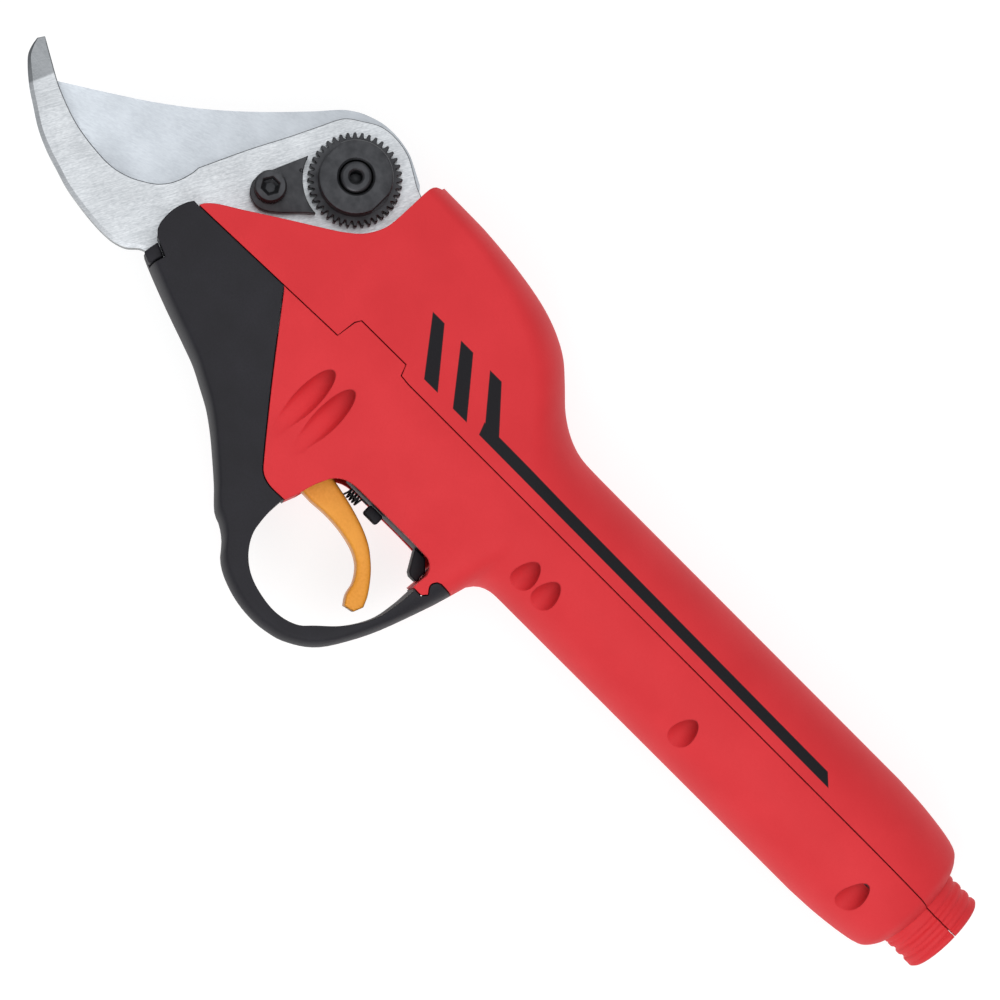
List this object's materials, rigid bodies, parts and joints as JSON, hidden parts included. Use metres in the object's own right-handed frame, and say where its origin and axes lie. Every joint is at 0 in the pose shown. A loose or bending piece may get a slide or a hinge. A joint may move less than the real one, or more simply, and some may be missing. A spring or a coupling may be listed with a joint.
{
  "type": "battery electric pruner",
  "caption": "Hand-held electric pruner: round grip with a cable socket, finger guard and trigger, hooked fixed blade and a motor-driven cutting blade.",
  "frame": {"origin": "on the flat side face that the tool lies on, under the handle's centre line and level with the blade pivot along X", "axes": "+X from the cable socket to the blade tips, along the handle; +Y from the back of the hand to the trigger; +Z from the flat side up through the blade nut"},
  "size_m": [0.3243, 0.1134, 0.04],
  "materials": {
    "red_soft_grip": "matte soft-touch",
    "black_nylon": "fine grained matte",
    "orange_nylon": "satin moulded",
    "ground_steel": "ground, fine brush marks",
    "machined_steel": "turned",
    "black_oxide_steel": "black oxide, satin",
    "cast_alloy": "die cast, satin",
    "bronze": "oiled sintered",
    "copper_winding": "enamelled wire",
    "rotor_steel": "plated",
    "circuit_board": "solder resist",
    "brass": "plated contacts"
  },
  "bodies": {
    "casing": {"blade_screw_1": "black_oxide_steel", "blade_screw_2": "black_oxide_steel", "blade_screw_3": "black_oxide_steel", "cable_socket": "black_nylon", "capacitor": "black_nylon", "case_screw_1_far": "black_oxide_steel", "case_screw_1_near": "black_oxide_steel", "case_screw_2_far": "black_oxide_steel", "case_screw_2_near": "black_oxide_steel", "case_screw_3_far": "black_oxide_steel", "case_screw_3_near": "black_oxide_steel", "case_screw_4_far": "black_oxide_steel", "case_screw_4_near": "black_oxide_steel", "case_screw_5_far": "black_oxide_steel", "case_screw_5_near": "black_oxide_steel", "case_screw_6_far": "black_oxide_steel", "case_screw_6_near": "black_oxide_steel", "contact_pin_1": "brass", "contact_pin_2": "brass", "contact_pin_3": "brass", "contact_pin_4": "brass", "controller_board": "circuit_board", "fixed_blade": "ground_steel", "front_guard": "black_nylon", "guard_insert": "black_nylon", "head_frame": "cast_alloy", "heat_sink": "cast_alloy", "lock_plate": "black_oxide_steel", "lock_plate_screw": "black_oxide_steel", "lower_shell": "red_soft_grip", "motor_bearing_front": "machined_steel", "motor_bearing_rear": "machined_steel", "motor_can": "machined_steel", "motor_front_cap": "cast_alloy", "motor_rear_cap": "cast_alloy", "pivot_bolt": "black_oxide_steel", "ring_gear": "machined_steel", "screw_bearing": "machined_steel", "stator": "copper_winding", "thrust_washer": "machined_steel", "toothed_nut": "black_oxide_steel", "trigger_pin": "machined_steel", "trigger_plate": "black_nylon", "trigger_sensor": "black_nylon", "trigger_spring": "black_oxide_steel", "trigger_stop": "black_nylon", "upper_shell": "red_soft_grip"},
    "rotor": {"rotor": "rotor_steel", "sun_gear": "machined_steel"},
    "screw": {"ball_screw": "machined_steel", "planet_carrier": "machined_steel"},
    "planet_1": {"planet_gear_1": "machined_steel"},
    "planet_2": {"planet_gear_2": "machined_steel"},
    "planet_3": {"planet_gear_3": "machined_steel"},
    "carriage": {"ball_nut": "machined_steel", "drive_yoke": "machined_steel"},
    "cutting_blade": {"moving_blade": "ground_steel", "pivot_bush": "bronze", "drive_pin": "machined_steel"},
    "trigger": {"trigger": "orange_nylon"}
  },
  "joints": [
    {"name": "rotor_spin", "type": "hinge", "parent": "casing", "child": "rotor", "pos_m": [-0.128, 0, 0.02], "axis": [1, 0, 0], "range_deg": [0, 7432.94]},
    {"name": "screw_spin", "type": "hinge", "parent": "casing", "child": "screw", "pos_m": [-0.062, 0, 0.02], "axis": [1, 0, 0], "range_deg": [0, 1651.77]},
    {"name": "planet_1_spin", "type": "hinge", "parent": "screw", "child": "planet_1", "pos_m": [-0.095, 0.00675, 0.02], "axis": [1, 0, 0], "range_deg": [-4624.95, 0]},
    {"name": "planet_2_spin", "type": "hinge", "parent": "screw", "child": "planet_2", "pos_m": [-0.095, -0.00337, 0.02585], "axis": [1, 0, 0], "range_deg": [-4624.95, 0]},
    {"name": "planet_3_spin", "type": "hinge", "parent": "screw", "child": "planet_3", "pos_m": [-0.095, -0.00337, 0.01415], "axis": [1, 0, 0], "range_deg": [-4624.95, 0]},
    {"name": "carriage_slide", "type": "slide", "parent": "casing", "child": "carriage", "axis": [1, 0, 0], "range_m": [0, 0.02294]},
    {"name": "blade_pivot", "type": "hinge", "parent": "casing", "child": "cutting_blade", "pos_m": [0, -0.0287, 0.0179], "axis": [0, 0, -1], "range_deg": [0, 48]},
    {"name": "trigger_squeeze", "type": "hinge", "parent": "casing", "child": "trigger", "pos_m": [-0.0425, 0.0317, 0.02], "axis": [0, 0, 1], "range_deg": [0, 12], "stiffness_Nm_per_rad": 0.25, "springref_deg": -17.19, "deforming": ["trigger_spring"]}
  ],
  "couplings": [
    {"joint": "rotor_spin", "follows": "blade_pivot", "ratio": 154.85},
    {"joint": "screw_spin", "follows": "blade_pivot", "ratio": 34.412},
    {"joint": "planet_1_spin", "follows": "blade_pivot", "ratio": -96.353},
    {"joint": "planet_2_spin", "follows": "blade_pivot", "ratio": -96.353},
    {"joint": "planet_3_spin", "follows": "blade_pivot", "ratio": -96.353},
    {"joint": "carriage_slide", "follows": "blade_pivot", "m_per_rad": 0.027384}
  ]
}
